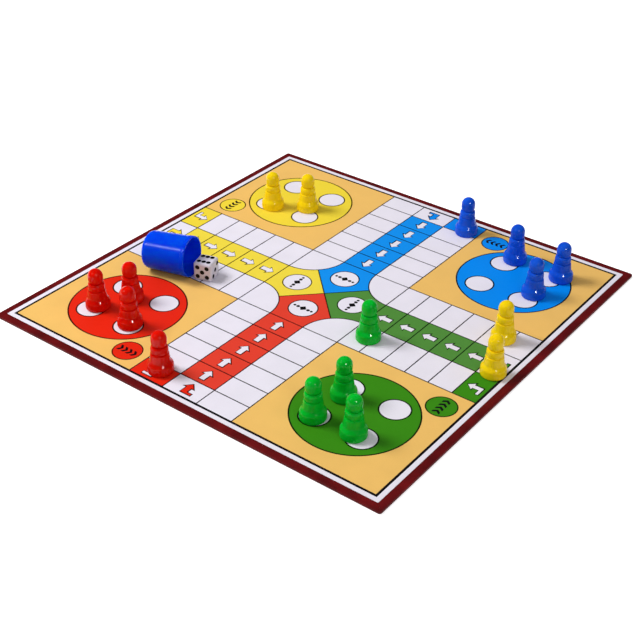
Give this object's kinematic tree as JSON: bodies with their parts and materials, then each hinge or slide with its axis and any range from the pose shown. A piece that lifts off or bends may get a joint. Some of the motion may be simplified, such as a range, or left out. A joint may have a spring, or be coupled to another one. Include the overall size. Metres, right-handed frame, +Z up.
{
  "type": "ludo board game",
  "caption": "Flat square ludo board, cardboard wrapped in maroon paper with a printed face, with its loose coloured pawns, a dice cup and a die standing on it.",
  "frame": {"origin": "centre of the board's underside, which lies on the table", "axes": "+Z up, square to the board's face; +X and +Y along the board's sides, with the red corner at -X -Y and the green corner at +X -Y"},
  "size_m": [0.34, 0.34, 0.0347],
  "materials": {
    "greyboard": "bare grey board, matt",
    "leatherette_paper": "maroon paper, fine leather grain, low sheen",
    "printed_paper": "white printed paper with a thin gloss varnish",
    "red_plastic": "moulded, glossy, slightly clear",
    "blue_plastic": "moulded, glossy, slightly clear",
    "green_plastic": "moulded, glossy, slightly clear",
    "yellow_plastic": "moulded, glossy, slightly clear",
    "cup_plastic": "blown or moulded, glossy blue",
    "die_plastic": "ivory white, polished, with black painted pips"
  },
  "bodies": {
    "board": {"board_core": "greyboard", "cover_wrap": "leatherette_paper", "face_sheet": "printed_paper"},
    "red_pawn_1": {"red_pawn_1": "red_plastic"},
    "red_pawn_2": {"red_pawn_2": "red_plastic"},
    "red_pawn_3": {"red_pawn_3": "red_plastic"},
    "red_pawn_4": {"red_pawn_4": "red_plastic"},
    "blue_pawn_1": {"blue_pawn_1": "blue_plastic"},
    "blue_pawn_2": {"blue_pawn_2": "blue_plastic"},
    "blue_pawn_3": {"blue_pawn_3": "blue_plastic"},
    "blue_pawn_4": {"blue_pawn_4": "blue_plastic"},
    "green_pawn_1": {"green_pawn_1": "green_plastic"},
    "green_pawn_2": {"green_pawn_2": "green_plastic"},
    "green_pawn_3": {"green_pawn_3": "green_plastic"},
    "green_pawn_4": {"green_pawn_4": "green_plastic"},
    "yellow_pawn_1": {"yellow_pawn_1": "yellow_plastic"},
    "yellow_pawn_2": {"yellow_pawn_2": "yellow_plastic"},
    "yellow_pawn_3": {"yellow_pawn_3": "yellow_plastic"},
    "yellow_pawn_4": {"yellow_pawn_4": "yellow_plastic"},
    "dice_cup": {"dice_cup": "cup_plastic"},
    "die": {"die": "die_plastic"}
  },
  "joints": [
    {"name": "red_pawn_1_lift", "type": "slide", "parent": "board", "child": "red_pawn_1", "axis": [0, 0, 1], "range_m": [0, 0.04]},
    {"name": "red_pawn_2_lift", "type": "slide", "parent": "board", "child": "red_pawn_2", "axis": [0, 0, 1], "range_m": [0, 0.04]},
    {"name": "red_pawn_3_lift", "type": "slide", "parent": "board", "child": "red_pawn_3", "axis": [0, 0, 1], "range_m": [0, 0.04]},
    {"name": "red_pawn_4_lift", "type": "slide", "parent": "board", "child": "red_pawn_4", "axis": [0, 0, 1], "range_m": [0, 0.04]},
    {"name": "blue_pawn_1_lift", "type": "slide", "parent": "board", "child": "blue_pawn_1", "axis": [0, 0, 1], "range_m": [0, 0.04]},
    {"name": "blue_pawn_2_lift", "type": "slide", "parent": "board", "child": "blue_pawn_2", "axis": [0, 0, 1], "range_m": [0, 0.04]},
    {"name": "blue_pawn_3_lift", "type": "slide", "parent": "board", "child": "blue_pawn_3", "axis": [0, 0, 1], "range_m": [0, 0.04]},
    {"name": "blue_pawn_4_lift", "type": "slide", "parent": "board", "child": "blue_pawn_4", "axis": [0, 0, 1], "range_m": [0, 0.04]},
    {"name": "green_pawn_1_lift", "type": "slide", "parent": "board", "child": "green_pawn_1", "axis": [0, 0, 1], "range_m": [0, 0.04]},
    {"name": "green_pawn_2_lift", "type": "slide", "parent": "board", "child": "green_pawn_2", "axis": [0, 0, 1], "range_m": [0, 0.04]},
    {"name": "green_pawn_3_lift", "type": "slide", "parent": "board", "child": "green_pawn_3", "axis": [0, 0, 1], "range_m": [0, 0.04]},
    {"name": "green_pawn_4_lift", "type": "slide", "parent": "board", "child": "green_pawn_4", "axis": [0, 0, 1], "range_m": [0, 0.04]},
    {"name": "yellow_pawn_1_lift", "type": "slide", "parent": "board", "child": "yellow_pawn_1", "axis": [0, 0, 1], "range_m": [0, 0.04]},
    {"name": "yellow_pawn_2_lift", "type": "slide", "parent": "board", "child": "yellow_pawn_2", "axis": [0, 0, 1], "range_m": [0, 0.04]},
    {"name": "yellow_pawn_3_lift", "type": "slide", "parent": "board", "child": "yellow_pawn_3", "axis": [0, 0, 1], "range_m": [0, 0.04]},
    {"name": "yellow_pawn_4_lift", "type": "slide", "parent": "board", "child": "yellow_pawn_4", "axis": [0, 0, 1], "range_m": [0, 0.04]},
    {"name": "dice_cup_lift", "type": "slide", "parent": "board", "child": "dice_cup", "axis": [0, 0, 1], "range_m": [0, 0.04]},
    {"name": "die_lift", "type": "slide", "parent": "board", "child": "die", "axis": [0, 0, 1], "range_m": [0, 0.04]}
  ]
}
